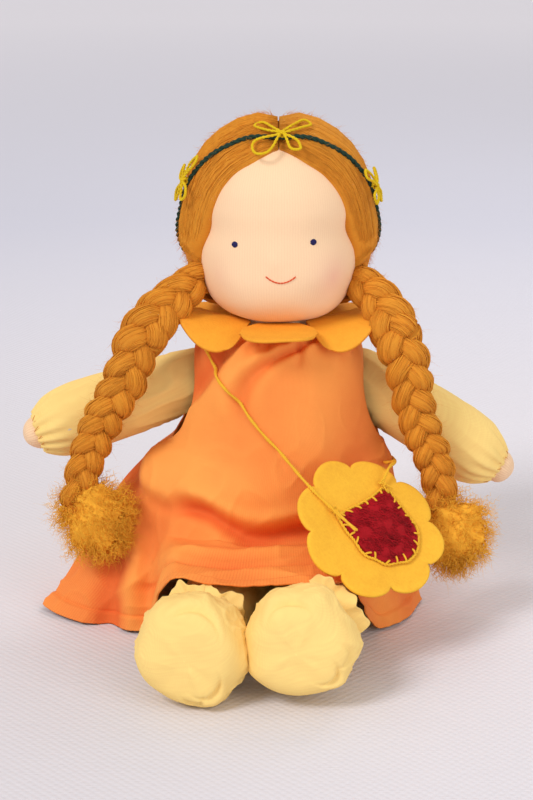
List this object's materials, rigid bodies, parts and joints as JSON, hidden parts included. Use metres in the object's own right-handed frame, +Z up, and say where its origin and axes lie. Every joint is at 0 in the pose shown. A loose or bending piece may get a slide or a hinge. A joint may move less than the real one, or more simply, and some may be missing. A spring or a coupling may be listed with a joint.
{
  "type": "doll",
  "caption": "Seated cloth doll with stuffed jersey head, wool plaits, felt petal collar, sleeveless dress, jointed arms and legs and a felt flower bag on a yarn strap.",
  "frame": {"origin": "on the flat underside of the torso, which is the face that the doll sits on", "axes": "+Z up, the face looks along -Y, +X is the viewer's right when looking at the face"},
  "size_m": [0.288, 0.2364, 0.2916],
  "materials": {
    "skin_jersey": "fine knitted cotton jersey",
    "fleece_wool": "washed fleece stuffing",
    "hair_wool": "brushed wool yarn",
    "orange_velour": "ribbed velour",
    "yellow_cotton": "plain cotton",
    "ochre_felt": "wool felt",
    "yellow_felt": "wool felt",
    "red_felt": "wool felt",
    "yellow_yarn": "twisted yarn",
    "green_yarn": "twisted yarn",
    "eye_thread": "embroidery thread",
    "mouth_thread": "embroidery thread",
    "pale_thread": "strong thread"
  },
  "bodies": {
    "torso": {"torso_cover": "yellow_cotton", "torso_stuffing": "fleece_wool", "dress_front": "orange_velour", "dress_back": "orange_velour", "collar_petal_1": "ochre_felt", "collar_petal_2": "ochre_felt", "collar_petal_3": "ochre_felt", "collar_petal_4": "ochre_felt", "collar_petal_5": "ochre_felt", "collar_petal_6": "ochre_felt", "bag_strap": "yellow_yarn"},
    "head": {"head_core": "fleece_wool", "head_skin": "skin_jersey", "eye_line_thread": "pale_thread", "neck_thread": "pale_thread", "left_eye": "eye_thread", "right_eye": "eye_thread", "mouth": "mouth_thread", "hair_cap": "hair_wool", "left_hair_lock": "hair_wool", "right_hair_lock": "hair_wool", "headband": "green_yarn", "headband_flower_1": "yellow_yarn", "headband_flower_2": "yellow_yarn", "headband_flower_3": "yellow_yarn", "headband_flower_4": "yellow_yarn", "headband_flower_5": "yellow_yarn"},
    "left_plait": {"left_plait": "hair_wool", "left_plait_tie": "hair_wool", "left_tuft": "hair_wool"},
    "right_plait": {"right_plait": "hair_wool", "right_plait_tie": "hair_wool", "right_tuft": "hair_wool"},
    "left_arm": {"left_sleeve": "yellow_cotton", "left_arm_stuffing": "fleece_wool", "left_hand": "skin_jersey", "left_cuff_thread": "mouth_thread"},
    "right_arm": {"right_sleeve": "yellow_cotton", "right_arm_stuffing": "fleece_wool", "right_hand": "skin_jersey", "right_cuff_thread": "mouth_thread"},
    "left_leg": {"left_leg": "yellow_cotton", "left_bootie": "yellow_cotton", "left_bootie_thread": "yellow_cotton"},
    "right_leg": {"right_leg": "yellow_cotton", "right_bootie": "yellow_cotton", "right_bootie_thread": "yellow_cotton"},
    "bag": {"bag_flower": "yellow_felt", "bag_pocket": "red_felt", "bag_stitching": "yellow_yarn", "left_strap_knot": "yellow_yarn", "right_strap_knot": "yellow_yarn"}
  },
  "joints": [
    {"name": "head_turn", "type": "hinge", "parent": "torso", "child": "head", "pos_m": [0, 0, 0.163], "axis": [0, 0, 1], "range_deg": [-20, 20], "deforming": ["left_hair_lock", "right_hair_lock"]},
    {"name": "left_arm_swing", "type": "hinge", "parent": "torso", "child": "left_arm", "pos_m": [-0.05, 0, 0.1345], "axis": [0, 1, 0], "range_deg": [-12, 35]},
    {"name": "right_arm_swing", "type": "hinge", "parent": "torso", "child": "right_arm", "pos_m": [0.05, 0, 0.1345], "axis": [0, -1, 0], "range_deg": [0, 49]},
    {"name": "left_leg_swing", "type": "hinge", "parent": "torso", "child": "left_leg", "pos_m": [-0.026, -0.033, 0.0245], "axis": [1, 0, 0], "range_deg": [0, 80]},
    {"name": "right_leg_swing", "type": "hinge", "parent": "torso", "child": "right_leg", "pos_m": [0.026, -0.033, 0.0245], "axis": [1, 0, 0], "range_deg": [0, 80]},
    {"name": "left_plait_swing", "type": "hinge", "parent": "torso", "child": "left_plait", "pos_m": [-0.0755, -0.0315, 0.169], "axis": [0, 1, 0], "range_deg": [0, 50]},
    {"name": "right_plait_swing", "type": "hinge", "parent": "torso", "child": "right_plait", "pos_m": [0.066, -0.0315, 0.169], "axis": [0, -1, 0], "range_deg": [0, 50]},
    {"name": "bag_swing", "type": "hinge", "parent": "torso", "child": "bag", "pos_m": [0.04383, -0.07523, 0.08903], "axis": [-0.7209, -0.6701, -0.1769], "range_deg": [0, 30]}
  ]
}
